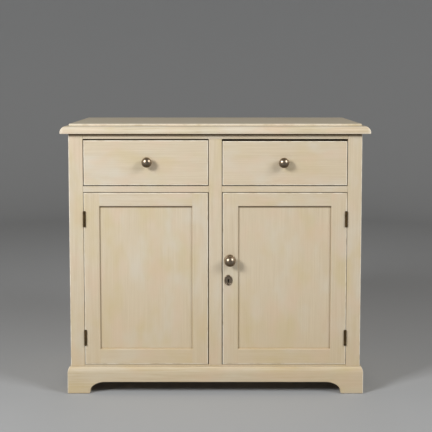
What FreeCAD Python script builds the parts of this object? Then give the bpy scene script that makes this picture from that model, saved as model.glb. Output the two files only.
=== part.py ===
import FreeCAD, Part
import math
import os

# A painted pine cupboard: two drawers over two panelled doors, on a plinth with bracket feet.
# Millimetres. +X is to the right, +Y to the back, +Z up. The face frame's front is drawn at y = 0,
# and every piece is moved to the middle of the cupboard's box when it is saved.

# Overall sizes
total_height = 900.0
body_width = 964.0
body_depth = 470.0

# Top board and its moulded edge, from the top surface down
top_thickness = 32.0
top_overhang = 25.5
top_front_overhang = 14.0
top_fillet_height = 7.0
top_quirk_width = 7.5
top_ovolo_run = 19.0
top_nose_height = 4.0
top_arris_radius = 2.5

# Face frame
frame_thickness = 22.0
side_stile_width = 47.0
centre_stile_width = 43.0
top_rail_height = 17.5
drawer_opening_height = 155.5
drawer_rail_height = 20.0
drawer_rail_depth = 60.0
bottom_rail_drop = 2.0
frame_tenon_stop = 18.0
frame_tenon_thickness = 8.0
centre_tenon_length = 18.0
stub_tenon_length = 12.0
tenon_shoulder = 3.0

# Carcase boards
side_thickness = 20.0
side_tongue_thickness = 6.0
side_tongue_depth = 8.0
housing_depth = 6.0
floor_thickness = 18.0
back_thickness = 12.0
back_inset = 2.0
back_rebate_width = 10.0
back_board_width = 118.0
back_tongue_thickness = 4.0
back_tongue_depth = 6.0
back_board_gap = 0.6
back_groove_gap = 0.1
shelf_thickness = 18.0
shelf_top_height = 400.0
shelf_setback = 48.0
shelf_gap = 0.5
cleat_size = 20.0

# Drawer runners, guides, kickers and stops
runner_width = 58.0
centre_runner_overlap = 27.0
runner_tongue_depth = 8.0
runner_tongue_thickness = 8.0
guide_height = 25.0
stop_length = 40.0
stop_depth = 25.0
drawer_stop_spread = 110.0
drawer_stop_height = 6.0
door_stop_depth = 12.0
door_stop_height = 15.0
stop_gap = 0.3

# Plinth with bracket feet
plinth_height = 90.0
plinth_thickness = 22.0
plinth_overhang = 10.0
plinth_rebate_depth = 14.0
plinth_ovolo_height = 22.0
plinth_top_flat = 1.5
plinth_back_height = 46.0
foot_width = 75.0
apron_clearance = 39.0
cove_run = 50.0
toe_radius = 5.0
toe_straight = 3.0
foot_edge = 2.5
corner_block_size = 30.0
corner_block_gap = 8.0

# Drawers
drawer_side_gap = 2.2
drawer_floor_gap = 3.0
drawer_run_clearance = 0.2
left_drawer_top_gap = 4.6
right_drawer_top_gap = 7.4
drawer_back_gap = 33.0
drawer_front_thickness = 22.0
drawer_front_lap = 8.0
drawer_board_thickness = 12.0
drawer_side_drop = 4.0
drawer_bottom_thickness = 7.0
drawer_bottom_height = 8.0
drawer_groove_depth = 5.0
drawer_tail_count = 4
drawer_tail_share = 0.55
drawer_tail_flare = 2.5

# Doors
door_thickness = 22.0
hinge_gap = 1.2
door_free_gap = 2.8
door_floor_gap = 1.6
door_top_gap = 2.0
door_stile_width = 52.0
door_top_rail_height = 45.0
door_bottom_rail_height = 52.0
door_tenon_length = 36.0
door_bevel = 2.0
panel_recess = 5.0
panel_thickness = 8.0
panel_groove_depth = 8.0
panel_edge_gap = 1.0

# Butt hinges
hinge_height = 50.0
upper_hinge_drop = 87.3
lower_hinge_rise = 89.4
hinge_set_in = 2.5
hinge_proud = 1.0
leaf_width = 20.0
leaf_thickness = 1.6
knuckle_count = 5
knuckle_radius = 4.2
knuckle_clearance = 0.4
knuckle_gap = 0.3
pin_radius = 1.6
pin_head_radius = 2.6
pin_head_height = 1.2
running_clearance = 0.05

# Wood screws of the hinges and the lock
screw_head_radius = 2.8
screw_head_height = 1.4
screw_shank_radius = 1.3
screw_length = 14.0
screw_slot_width = 0.7
screw_slot_depth = 0.6
hinge_screw_spacing = 17.0
hinge_screw_setback = 12.0

# Drawer knobs
drawer_knob_diameter = 34.0
drawer_knob_projection = 29.0
drawer_knob_dome = 12.0
drawer_knob_back = 8.0
drawer_knob_offset = 3.8
drawer_knob_neck_radius = 6.5
drawer_knob_base_radius = 9.5
drawer_knob_base_height = 3.0
knob_stud_radius = 3.0
knob_height_share = 0.52
nut_radius = 6.5
nut_thickness = 5.0
stud_end = 2.0

# Turning knob of the right door, its rose and its tongue
latch_height = 449.0
latch_inset = 24.0
latch_knob_diameter = 36.5
latch_knob_projection = 34.0
latch_knob_dome = 13.0
latch_knob_back = 9.0
latch_knob_neck_radius = 7.0
latch_rose_radius = 18.0
latch_rose_thickness = 3.5
latch_rose_round = 1.5
turning_gap = 0.3
spindle_radius = 4.0
tongue_gap = 1.0
tongue_thickness = 3.0
tongue_width = 14.0
tongue_hub_radius = 9.0
tongue_overlap = 10.0
spindle_end = 2.0
rivet_radius = 6.0

# Lock of the right door
latch_to_lock = 67.0
lock_inset = 19.0
escutcheon_width = 26.0
escutcheon_height = 35.0
escutcheon_thickness = 2.6
escutcheon_plate = 1.0
escutcheon_rim = 3.0
escutcheon_round = 1.2
keyhole_radius = 3.4
keyhole_slot_width = 3.2
keyhole_slot_length = 9.0
lock_case_width = 48.0
lock_case_height = 56.0
lock_case_depth = 11.0
lock_case_wall = 1.5
lock_edge_gap = 0.6
lock_ear_height = 9.0
lock_screw_inset = 9.0
bolt_height = 12.0
bolt_thickness = 5.0
bolt_end_gap = 6.5
bolt_rise = 12.0
bolt_clearance = 0.3
spring_length = 36.0
spring_thickness = 0.8

# Turn button inside the left door
button_height = 425.0
button_inset = 20.0
button_overlap = 10.0
button_width = 16.0
button_thickness = 8.0
button_end_radius = 6.0
button_pad_radius = 6.0
button_screw_radius = 2.5
button_screw_head_radius = 5.0
button_screw_head_height = 2.5
button_screw_depth = 16.0
button_gap = 1.0

# Rounding of the worn wood edges
eased_edge = 1.4
eased_corner = 2.2

# Places worked out from the sizes above
half_body = body_width / 2
side_inner = half_body - side_thickness
carcase_bottom = plinth_height - plinth_rebate_depth
carcase_top = total_height - top_thickness
opening_outer = half_body - side_stile_width
opening_inner = centre_stile_width / 2
opening_top = carcase_top - top_rail_height
drawer_floor = opening_top - drawer_opening_height
door_head = drawer_floor - drawer_rail_height
bottom_rail_height = floor_thickness + bottom_rail_drop
door_sill = carcase_bottom + bottom_rail_height
frame_tenon_length = side_stile_width - frame_tenon_stop
back_outer = body_depth - back_inset
back_face = back_outer - back_thickness
drawer_length = back_face - drawer_back_gap
runner_inner = side_inner - runner_width
hinge_x = opening_outer - hinge_gap / 2 - hinge_set_in
hinge_y = -hinge_proud
door_outer = opening_outer - hinge_gap
door_inner = opening_inner + door_free_gap
door_low = door_sill + door_floor_gap
door_high = door_head - door_top_gap
upper_hinge_height = door_high - upper_hinge_drop
lower_hinge_height = door_low + lower_hinge_rise
panel_left = door_inner + door_stile_width
panel_right = door_outer - door_stile_width
panel_low = door_low + door_bottom_rail_height
panel_high = door_high - door_top_rail_height
latch_x = door_inner + latch_inset
lock_x = door_inner + lock_inset
lock_height = latch_height - latch_to_lock
bolt_length = lock_case_width - lock_case_wall - bolt_end_gap
button_x = -(door_inner + button_inset)
front_reach = max(latch_knob_projection, drawer_knob_projection, top_front_overhang)
MITRED_CORNERS = 1
QUARTER_HANDLE = 4 * (math.sqrt(2) - 1) / 3
TINY = 0.01

os.makedirs("parts", exist_ok=True)


def vec(x, y, z):
    return FreeCAD.Vector(x, y, z)


def box(x0, x1, y0, y1, z0, z1):
    return Part.makeBox(x1 - x0, y1 - y0, z1 - z0, vec(x0, y0, z0))


def rod(radius, start, end):
    """A round bar between two points."""
    return Part.makeCylinder(radius, (end - start).Length, start, end - start)


def prism(edges, along):
    """A closed outline of edges, drawn out along a vector."""
    return Part.Face(Part.Wire(Part.sortEdges(edges)[0])).extrude(along)


def polygon(points):
    return Part.makePolygon(points + points[:1]).Edges


def line(a, b):
    return Part.LineSegment(a, b).toShape()


def outline(points):
    return [line(a, b) for a, b in zip(points, points[1:])]


def arc(a, middle, b):
    return Part.Arc(a, middle, b).toShape()


def ovolo(a, b, corner):
    """A quarter round from a to b, square to the two sides that meet in the corner."""
    curve = Part.BezierCurve()
    curve.setPoles([a, a + (corner - a) * QUARTER_HANDLE, b + (corner - b) * QUARTER_HANDLE, b])
    return curve.toShape()


def mirrored(shape):
    """The same piece on the other side of the cupboard."""
    return shape.mirror(vec(0, 0, 0), vec(1, 0, 0))


def joined(pieces):
    """One solid from pieces that overlap or share a face."""
    return pieces[0].fuse(pieces[1:]).removeSplitter().Solids[0]


def ease(shape, radius, test):
    """Rounds the edges whose middle passes the test."""
    chosen = [edge for edge in shape.Edges if test(edge.CenterOfMass)]
    return shape.makeFillet(radius, chosen)


ALONG_X = vec(1, 0, 0)
ALONG_Y = vec(0, 1, 0)


def at_front(point):
    return abs(point.y) < TINY


def save(node, *solids):
    """Moves a node's solids to the middle of the cupboard's box and writes them."""
    shape = solids[0] if len(solids) == 1 else Part.makeCompound(list(solids))
    placed = shape.copy()
    placed.translate(vec(0, (front_reach - body_depth) / 2, 0))
    for solid in placed.Solids:
        assert solid.isValid() and solid.Volume > 0, node
    placed.exportStep("parts/" + node + ".step")


# Moulded top: one section runs round the ends and the front, mitred at the corners, about a plain field


def make_top():
    fillet_low = total_height - top_fillet_height
    shoulder = top_overhang - top_ovolo_run
    arris = shoulder - top_quirk_width
    field_edge = arris - top_quirk_width
    at = lambda out, z: vec(-half_body - out, body_depth, z)
    points = [at(shoulder, fillet_low), at(arris, fillet_low), at(arris, total_height),
              at(field_edge, total_height), at(field_edge, carcase_top),
              at(top_overhang, carcase_top), at(top_overhang, carcase_top + top_nose_height)]
    rounding = ovolo(points[-1], points[0], at(top_overhang, fillet_low))
    section = Part.Wire(Part.sortEdges(outline(points) + [rounding])[0])
    front = top_overhang - top_front_overhang
    corners = [(-half_body, body_depth), (-half_body, front), (half_body, front), (half_body, body_depth)]
    path = Part.makePolygon([vec(x, y, carcase_top) for x, y in corners])
    border = path.makePipeShell([section], True, True, MITRED_CORNERS)
    field_reach = half_body + field_edge
    field = box(-field_reach, field_reach, front - field_edge, body_depth, carcase_top, total_height)
    top = joined([border, field])
    worn = ease(top, top_arris_radius, lambda c: c.z > total_height - TINY and c.y < body_depth - TINY)
    return ease(worn, eased_edge, lambda c: c.z < carcase_top + TINY and c.y < body_depth - TINY)


save("top_board", make_top())


# Hinge pieces of the right-hand side, drawn closed: the left side mirrors them


def screw_body(point, direction, extra):
    """A countersunk screw, or with some extra all round, the hole that it goes in."""
    head = Part.makeCone(screw_head_radius + extra, screw_shank_radius + extra, screw_head_height,
                         point, direction)
    neck = point + direction * screw_head_height
    return joined([head, rod(screw_shank_radius + extra, neck, point + direction * (screw_length + extra))])


def screw(point, direction):
    across = screw_slot_width / 2
    reach = vec(abs(direction.x), abs(direction.y), abs(direction.z)) * screw_slot_depth
    half = reach + vec(1, 1, 0) * across - vec(abs(direction.x), abs(direction.y), 0) * across
    slot = box(point.x - half.x, point.x + half.x, point.y - half.y, point.y + half.y,
               point.z - screw_head_radius, point.z + screw_head_radius)
    return screw_body(point, direction, 0.0).cut(slot)


def screw_hole(point, direction):
    return screw_body(point, direction, running_clearance)


def barrel_hollow(low):
    """The round space about the barrel and the two heads of its pin."""
    reach = pin_head_height + knuckle_clearance
    return rod(knuckle_radius + knuckle_clearance, vec(hinge_x, hinge_y, low - reach),
               vec(hinge_x, hinge_y, low + hinge_height + reach))


def leaf_plate(low, x0, x1):
    return box(x0, x1, 0, leaf_width, low, low + hinge_height)


def hinge_leaf(low, x0, x1, first_knuckle, screws):
    """One leaf with every other knuckle of the barrel, bored for the pin and drilled for its screws."""
    pieces = [leaf_plate(low, x0, x1).cut(barrel_hollow(low))]
    step = hinge_height / knuckle_count
    for number in range(first_knuckle, knuckle_count, 2):
        z0 = low + number * step + knuckle_gap / 2
        z1 = low + (number + 1) * step - knuckle_gap / 2
        pieces.append(rod(knuckle_radius, vec(hinge_x, hinge_y, z0), vec(hinge_x, hinge_y, z1)))
        pieces.append(box(x0, x1, hinge_y, knuckle_radius, z0, z1))
    bore = rod(pin_radius + running_clearance, vec(hinge_x, hinge_y, low),
               vec(hinge_x, hinge_y, low + hinge_height))
    return joined(pieces).cut(Part.makeCompound([bore] + [screw_hole(*place) for place in screws]))


def hinge_pin(low):
    start = low + knuckle_gap / 2
    end = low + hinge_height - knuckle_gap / 2
    at = [vec(hinge_x, hinge_y, z) for z in (start - pin_head_height, start, end, end + pin_head_height)]
    return joined([rod(pin_radius, at[0], at[3]), rod(pin_head_radius, at[0], at[1]),
                   rod(pin_head_radius, at[2], at[3])])


def hinge_screws(low, x, direction):
    middle = low + hinge_height / 2
    heights = [middle + step * hinge_screw_spacing for step in (-1, 0, 1)]
    return [(vec(x, hinge_screw_setback, height), direction) for height in heights]


def recess(low, x0, x1):
    """The shallow cut that a leaf lies in, hollowed for the barrel."""
    return joined([leaf_plate(low, x0, x1), barrel_hollow(low)])


hinge_lows = [height - hinge_height / 2 for height in (upper_hinge_height, lower_hinge_height)]
frame_screws = []
door_screws = []
frame_leaves = []
door_leaves = []
hinge_pins = []
frame_hinge_cuts = []
door_hinge_cuts = []
for low in hinge_lows:
    to_frame = hinge_screws(low, opening_outer, ALONG_X)
    to_door = hinge_screws(low, door_outer, -ALONG_X)
    frame_screws += [screw(*place) for place in to_frame]
    door_screws += [screw(*place) for place in to_door]
    frame_leaf_end = opening_outer + leaf_thickness
    door_leaf_end = door_outer - leaf_thickness
    frame_leaves.append(hinge_leaf(low, opening_outer, frame_leaf_end, 0, to_frame))
    door_leaves.append(hinge_leaf(low, door_leaf_end, door_outer, 1, to_door))
    hinge_pins.append(hinge_pin(low))
    frame_hinge_cuts.append(recess(low, opening_outer, frame_leaf_end))
    frame_hinge_cuts += [screw_hole(*place) for place in to_frame]
    door_hinge_cuts.append(recess(low, door_leaf_end, door_outer))
    door_hinge_cuts += [screw_hole(*place) for place in to_door]

save("hinge_frame_leaves", *frame_leaves, *[mirrored(leaf) for leaf in frame_leaves])
save("hinge_pins", *hinge_pins, *[mirrored(pin) for pin in hinge_pins])
save("hinge_frame_screws", *frame_screws, *[mirrored(piece) for piece in frame_screws])


# Face frame: rails tenoned into stiles


def frame_tenon(x0, x1, z0, z1):
    """A tenon in the middle of the frame's thickness."""
    front = (frame_thickness - frame_tenon_thickness) / 2
    return box(x0, x1, front, front + frame_tenon_thickness, z0, z1)


def rail_tenons(x0, x1, z0, z1, left_length, right_length):
    return [frame_tenon(x0 - left_length, x0, z0 + tenon_shoulder, z1 - tenon_shoulder),
            frame_tenon(x1, x1 + right_length, z0 + tenon_shoulder, z1 - tenon_shoulder)]


top_rail_tenons = rail_tenons(-opening_outer, opening_outer, opening_top, carcase_top,
                              frame_tenon_length, frame_tenon_length)
bottom_rail_tenons = rail_tenons(-opening_outer, opening_outer, carcase_bottom, door_sill,
                                 frame_tenon_length, frame_tenon_length)
drawer_rail_tenons = rail_tenons(opening_inner, opening_outer, door_head, drawer_floor,
                                 centre_tenon_length, frame_tenon_length)
stub_half_width = opening_inner - tenon_shoulder
centre_stile_tenons = [
    frame_tenon(-stub_half_width, stub_half_width, opening_top, opening_top + stub_tenon_length),
    frame_tenon(-stub_half_width, stub_half_width, door_sill - stub_tenon_length, door_sill),
]

tongue_x = side_inner + (side_thickness - side_tongue_thickness) / 2
side_tongue = box(tongue_x, tongue_x + side_tongue_thickness, frame_thickness - side_tongue_depth,
                  frame_thickness, carcase_bottom, carcase_top)


def upright(c):
    """Whether an edge's middle is clear of the carcase's two ends."""
    return carcase_bottom + TINY < c.z < carcase_top - TINY


right_stile = box(opening_outer, half_body, 0, frame_thickness, carcase_bottom, carcase_top)
right_stile = ease(right_stile, eased_corner,
                   lambda c: at_front(c) and upright(c) and c.x > half_body - TINY)
right_stile = ease(right_stile, eased_edge,
                   lambda c: at_front(c) and upright(c) and c.x < opening_outer + TINY)
right_stile = right_stile.cut(Part.makeCompound(
    [top_rail_tenons[1], bottom_rail_tenons[1], drawer_rail_tenons[1], side_tongue] + frame_hinge_cuts))
save("right_stile", right_stile)
save("left_stile", mirrored(right_stile))

centre_stile = box(-opening_inner, opening_inner, 0, frame_thickness, door_sill, opening_top)
centre_stile = ease(centre_stile, eased_edge, lambda c: at_front(c) and abs(c.x) > opening_inner - TINY)
centre_stile = joined([centre_stile] + centre_stile_tenons)
centre_stile = centre_stile.cut(Part.makeCompound([drawer_rail_tenons[0], mirrored(drawer_rail_tenons[0])]))
save("centre_stile", centre_stile)


def frame_rail(x0, x1, y1, z0, z1, tenons, eased):
    """A rail with its tenons, rounded along the front edges whose heights are listed."""
    rail = box(x0, x1, 0, y1, z0, z1)
    rail = ease(rail, eased_edge, lambda c: at_front(c) and min(abs(c.z - z) for z in eased) < TINY)
    return joined([rail] + tenons)


top_rail = frame_rail(-opening_outer, opening_outer, frame_thickness, opening_top, carcase_top,
                      top_rail_tenons, [opening_top])
save("top_rail", top_rail.cut(centre_stile_tenons[0]))
bottom_rail = frame_rail(-opening_outer, opening_outer, frame_thickness, carcase_bottom, door_sill,
                         bottom_rail_tenons, [door_sill])
save("bottom_rail", bottom_rail.cut(centre_stile_tenons[1]))

runner_middle = (door_head + drawer_floor) / 2
runner_tongue_low = runner_middle - runner_tongue_thickness / 2
runner_tongue_high = runner_middle + runner_tongue_thickness / 2
centre_runner_half = opening_inner + centre_runner_overlap


def runner_tongue(x0, x1):
    return box(x0, x1, drawer_rail_depth - runner_tongue_depth, drawer_rail_depth,
               runner_tongue_low, runner_tongue_high)


outer_tongue = runner_tongue(runner_inner, opening_outer)
centre_tongue = runner_tongue(opening_inner, centre_runner_half)
drawer_rail = frame_rail(opening_inner, opening_outer, drawer_rail_depth, door_head, drawer_floor,
                         drawer_rail_tenons, [door_head, drawer_floor])
drawer_rail = drawer_rail.cut(Part.makeCompound([outer_tongue, centre_tongue]))
save("right_drawer_rail", drawer_rail)
save("left_drawer_rail", mirrored(drawer_rail))


# Carcase boards

floor_low = door_sill - floor_thickness
floor_reach = side_inner + housing_depth
floor_board = box(-floor_reach, floor_reach, frame_thickness, back_face, floor_low, door_sill)
save("floor_board", floor_board)

back_reach = side_inner + back_rebate_width
right_side = joined([
    box(side_inner, half_body, frame_thickness, body_depth, carcase_bottom, carcase_top), side_tongue])
right_side = right_side.cut(Part.makeCompound([
    floor_board, box(side_inner, back_reach, back_face, body_depth, carcase_bottom, carcase_top)]))
save("right_side", right_side)
save("left_side", mirrored(right_side))


def make_back_boards():
    """Upright boards with a tongue on one edge and a groove on the other."""
    count = max(2, round(2 * back_reach / back_board_width))
    pitch = 2 * back_reach / count
    tongue_y = back_face + (back_thickness - back_tongue_thickness) / 2
    boards = []
    for number in range(count):
        x0 = -back_reach + number * pitch
        x1 = x0 + pitch - (back_board_gap if number < count - 1 else 0)
        board = box(x0, x1, back_face, back_outer, carcase_bottom, carcase_top)
        board = ease(board, eased_edge, lambda c: c.y > back_outer - TINY and upright(c))
        if number > 0:
            groove_end = x0 + back_tongue_depth
            groove_back = tongue_y + back_tongue_thickness + back_groove_gap
            board = board.cut(box(x0, groove_end, tongue_y - back_groove_gap, groove_back,
                                  carcase_bottom, carcase_top))
        if number < count - 1:
            tongue = box(x1, x1 + back_tongue_depth, tongue_y, tongue_y + back_tongue_thickness,
                         carcase_bottom, carcase_top)
            board = joined([board, tongue])
        boards.append(board)
    return boards


save("back_boards", *make_back_boards())

shelf_front = frame_thickness + shelf_setback
shelf_low = shelf_top_height - shelf_thickness
shelf = box(shelf_gap - side_inner, side_inner - shelf_gap, shelf_front, back_face - shelf_gap,
            shelf_low, shelf_top_height)
save("shelf", ease(shelf, eased_edge, lambda c: c.y < shelf_front + TINY and abs(c.x) < TINY))
cleat = box(side_inner - cleat_size, side_inner, shelf_front + cleat_size, back_face,
            shelf_low - cleat_size, shelf_low)
save("shelf_cleats", cleat, mirrored(cleat))

runner = joined([
    box(runner_inner, side_inner, drawer_rail_depth, back_face, door_head, drawer_floor), outer_tongue])
centre_runner = joined([
    box(-centre_runner_half, centre_runner_half, drawer_rail_depth, back_face, door_head, drawer_floor),
    box(-opening_inner, opening_inner, frame_thickness, drawer_rail_depth, door_head, drawer_floor),
    centre_tongue, mirrored(centre_tongue)])
save("drawer_runners", runner, mirrored(runner), centre_runner)

guide_top = drawer_floor + guide_height
guide = box(opening_outer, side_inner, drawer_rail_depth, back_face, drawer_floor, guide_top)
centre_guide = box(-opening_inner, opening_inner, frame_thickness, back_face, drawer_floor, guide_top)
save("drawer_guides", guide, mirrored(guide), centre_guide)

kicker = box(runner_inner, side_inner, frame_thickness, back_face, opening_top, carcase_top)
centre_kicker = box(-centre_runner_half, centre_runner_half, frame_thickness, back_face,
                    opening_top, carcase_top)
save("drawer_kickers", kicker, mirrored(kicker), centre_kicker)

opening_middle = (opening_inner + opening_outer) / 2
drawer_stops = []
for x in (opening_middle - drawer_stop_spread, opening_middle + drawer_stop_spread):
    front = drawer_front_thickness + stop_gap
    drawer_stops.append(box(x - stop_length / 2, x + stop_length / 2, front, front + stop_depth,
                            drawer_floor, drawer_floor + drawer_stop_height))
door_stop_front = door_thickness + stop_gap
door_stop = box(opening_middle - stop_length / 2, opening_middle + stop_length / 2,
                door_stop_front, door_stop_front + door_stop_depth, door_head - door_stop_height, door_head)
stops = drawer_stops + [door_stop]
save("stop_blocks", *stops, *[mirrored(stop) for stop in stops])


# Plinth: boards mitred at the front corners, arched between bracket feet

plinth_reach = half_body + plinth_overhang
plinth_inner = plinth_reach - plinth_thickness
plinth_front_inner = plinth_thickness - plinth_overhang


def plinth_section(at):
    """The board's outline; at(out, z) places a point by its reach past the body."""
    ovolo_low = plinth_height - plinth_ovolo_height
    inner = plinth_overhang - plinth_thickness
    face = [at(inner, 0), at(plinth_overhang, 0), at(plinth_overhang, ovolo_low)]
    seat = [at(plinth_top_flat, plinth_height), at(0, plinth_height), at(0, carcase_bottom),
            at(inner, carcase_bottom), at(inner, 0)]
    rounding = ovolo(face[-1], seat[0], at(plinth_overhang, plinth_height))
    return outline(face) + outline(seat) + [rounding]


def corner_cut(points):
    """An upright triangle that trims a board to its mitre."""
    return prism(polygon([vec(x, y, 0) for x, y in points]), vec(0, 0, plinth_height))


outer_corner = (plinth_reach, -plinth_overhang)
inner_corner = (plinth_inner, plinth_front_inner)
front_cut = corner_cut([outer_corner, inner_corner, (plinth_reach, plinth_front_inner)])
side_cut = corner_cut([outer_corner, inner_corner, (plinth_inner, -plinth_overhang)])


def arch(half, at, through):
    """The opening between two feet; at(along, z) places a point by its distance from the middle."""
    spring = toe_radius + toe_straight
    edges = outline([at(cove_run - half, apron_clearance), at(half - cove_run, apron_clearance)])
    edges += outline([at(half, spring), at(half, -toe_radius), at(-half, -toe_radius), at(-half, spring)])
    for end in (-1, 1):
        edges.append(ovolo(at(end * half, spring), at(end * (half - cove_run), apron_clearance),
                           at(end * half, apron_clearance)))
    return prism(edges, through)


front_arch_half = plinth_reach - foot_width
front_arch = arch(front_arch_half, lambda along, z: vec(along, -plinth_overhang, z),
                  vec(0, plinth_thickness, 0))
plinth_front = prism(plinth_section(lambda out, z: vec(-plinth_reach, -out, z)), vec(2 * plinth_reach, 0, 0))
plinth_front = plinth_front.cut(Part.makeCompound([front_arch, front_cut, mirrored(front_cut)])).Solids[0]
plinth_front = ease(plinth_front, toe_radius,
                    lambda c: abs(c.z) < TINY and abs(abs(c.x) - front_arch_half) < TINY)
save("plinth_front", ease(plinth_front, foot_edge, lambda c: c.y < TINY - plinth_overhang
                          and c.z < apron_clearance + TINY and abs(c.x) < plinth_reach - TINY))

side_arch_front = foot_width - plinth_overhang
side_arch_back = body_depth - foot_width
side_arch_half = (side_arch_back - side_arch_front) / 2
side_arch_middle = (side_arch_back + side_arch_front) / 2
side_arch = arch(side_arch_half, lambda along, z: vec(plinth_inner, side_arch_middle + along, z),
                 vec(plinth_thickness, 0, 0))
plinth_right = prism(plinth_section(lambda out, z: vec(half_body + out, -plinth_overhang, z)),
                     vec(0, plinth_overhang + body_depth, 0))
plinth_right = plinth_right.cut(Part.makeCompound([side_arch, side_cut])).Solids[0]
plinth_right = ease(plinth_right, toe_radius,
                    lambda c: abs(c.z) < TINY and abs(abs(c.y - side_arch_middle) - side_arch_half) < TINY)
plinth_right = ease(plinth_right, foot_edge, lambda c: c.x > plinth_reach - TINY
                    and c.z < apron_clearance + TINY and TINY - plinth_overhang < c.y < body_depth - TINY)
save("plinth_right", plinth_right)
save("plinth_left", mirrored(plinth_right))

plinth_back_face = body_depth - plinth_thickness
save("plinth_back", box(-plinth_inner, plinth_inner, plinth_back_face, body_depth,
                        carcase_bottom - plinth_back_height, carcase_bottom))
corner_blocks = []
for y in (plinth_front_inner, plinth_back_face - corner_block_size):
    block = box(plinth_inner - corner_block_size, plinth_inner, y, y + corner_block_size,
                corner_block_gap, carcase_bottom - corner_block_gap)
    corner_blocks += [block, mirrored(block)]
save("plinth_corner_blocks", *corner_blocks)


# Doors: the right-hand door is drawn, and the left one mirrors it


def turned(x, z, edges):
    """A turned piece: its half profile spun about an axis square to the front."""
    return Part.Face(Part.Wire(Part.sortEdges(edges)[0])).revolve(vec(x, 0, z), ALONG_Y, 360)


def dome(at, radius, rim, crown):
    """The round front of a knob: part of a ball, from its rim to its crown."""
    rise = crown - rim
    ball = (radius * radius + rise * rise) / (2 * rise)
    half_angle = math.acos((ball - rise) / ball) / 2
    middle = at(ball * math.sin(half_angle), crown - ball * (1 - math.cos(half_angle)))
    return arc(at(radius, rim), middle, at(0, crown))


def door_member(x0, x1, z0, z1, test):
    """A frame member, rounded at the door's outer edges, grooved and bevelled towards the panel."""
    member = ease(box(x0, x1, 0, door_thickness, z0, z1), eased_edge, lambda c: at_front(c) and test(c))
    return member.cut(Part.makeCompound([panel_groove, panel_bevel])).Solids[0]


panel_back = panel_recess + panel_thickness
panel_groove = box(panel_left - panel_groove_depth, panel_right + panel_groove_depth,
                   panel_recess, panel_back,
                   panel_low - panel_groove_depth, panel_high + panel_groove_depth)
panel_bevel = Part.makeWedge(
    panel_left - door_bevel, 0, panel_low - door_bevel, panel_low, panel_left,
    panel_right + door_bevel, door_bevel, panel_high + door_bevel, panel_high, panel_right)
panel_lap = panel_groove_depth - panel_edge_gap
door_panel = box(panel_left - panel_lap, panel_right + panel_lap, panel_recess, panel_back,
                 panel_low - panel_lap, panel_high + panel_lap)


def door_tenons(z0, z1):
    """The two tenons of a rail, clear of the panel groove and of the door's edge."""
    return [box(x0, x1, panel_recess, panel_back, z0, z1) for x0, x1 in (
        (panel_left - door_tenon_length, panel_left), (panel_right, panel_right + door_tenon_length))]


top_tenons = door_tenons(panel_high + panel_groove_depth, door_high - tenon_shoulder)
bottom_tenons = door_tenons(door_low + tenon_shoulder, panel_low - panel_groove_depth)
outer_stile = door_member(panel_right, door_outer, door_low, door_high, lambda c: c.x > panel_right + TINY)
outer_stile = outer_stile.cut(Part.makeCompound([top_tenons[1], bottom_tenons[1]] + door_hinge_cuts))
inner_stile = door_member(door_inner, panel_left, door_low, door_high, lambda c: c.x < panel_left - TINY)
inner_stile = inner_stile.cut(Part.makeCompound([top_tenons[0], bottom_tenons[0]]))
door_top_rail = joined([door_member(panel_left, panel_right, panel_high, door_high,
                                    lambda c: c.z > door_high - TINY)] + top_tenons)
door_bottom_rail = joined([door_member(panel_left, panel_right, door_low, panel_low,
                                       lambda c: c.z < door_low + TINY)] + bottom_tenons)


# Turning knob of the right door, with its rose outside and its tongue inside

tongue_front = door_thickness + tongue_gap
tongue_back = tongue_front + tongue_thickness


def make_latch_knob():
    at = lambda radius, out: vec(latch_x + radius, -out, latch_height)
    rim = latch_knob_projection - latch_knob_dome
    waist = rim - latch_knob_back
    neck = latch_rose_thickness + turning_gap
    radius = latch_knob_diameter / 2
    end = -(tongue_back + spindle_end)
    shaft = [at(0, end), at(rivet_radius, end), at(rivet_radius, -tongue_back),
             at(spindle_radius, -tongue_back), at(spindle_radius, neck),
             at(latch_knob_neck_radius, neck), at(latch_knob_neck_radius, waist)]
    return turned(latch_x, latch_height, outline(shaft) + [
        ovolo(at(latch_knob_neck_radius, waist), at(radius, rim), at(radius, waist)),
        dome(at, radius, rim, latch_knob_projection),
        line(at(0, latch_knob_projection), at(0, end))])


def through_door(radius, x, z, y0, y1):
    return rod(radius, vec(x, y0, z), vec(x, y1, z))


spindle_hole = through_door(spindle_radius + running_clearance, latch_x, latch_height,
                            -latch_rose_thickness, tongue_back)
latch_rose = through_door(latch_rose_radius, latch_x, latch_height, -latch_rose_thickness, 0)
latch_rose = ease(latch_rose, latch_rose_round, lambda c: c.y < TINY - latch_rose_thickness).cut(spindle_hole)
tongue_reach = latch_x - (opening_inner - tongue_overlap)
latch_tongue = joined([
    through_door(tongue_hub_radius, latch_x, latch_height, tongue_front, tongue_back),
    box(latch_x - tongue_width / 2, latch_x + tongue_width / 2, tongue_front, tongue_back,
        latch_height, latch_height + tongue_reach)]).cut(spindle_hole)
save("latch_rose", latch_rose)
save("latch_knob", make_latch_knob())
save("latch_tongue", latch_tongue)


# Lock of the right door: oval escutcheon outside, case and sliding bolt inside

case_left = door_inner + lock_edge_gap
case_right = case_left + lock_case_width
case_low = lock_height + (bolt_rise - lock_case_height) / 2
case_high = case_low + lock_case_height
case_back = door_thickness + lock_case_depth
bolt_middle_y = door_thickness + (lock_case_depth - lock_case_wall) / 2
bolt_middle_z = lock_height + bolt_rise


def bolt_block(x0, x1, extra):
    half_y = bolt_thickness / 2 + extra
    half_z = bolt_height / 2 + extra
    return box(x0, x1, bolt_middle_y - half_y, bolt_middle_y + half_y,
               bolt_middle_z - half_z, bolt_middle_z + half_z)


keyhole = joined([
    through_door(keyhole_radius, lock_x, lock_height, -escutcheon_thickness, door_thickness),
    box(lock_x - keyhole_slot_width / 2, lock_x + keyhole_slot_width / 2,
        -escutcheon_thickness, door_thickness, lock_height - keyhole_slot_length, lock_height)])


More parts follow.
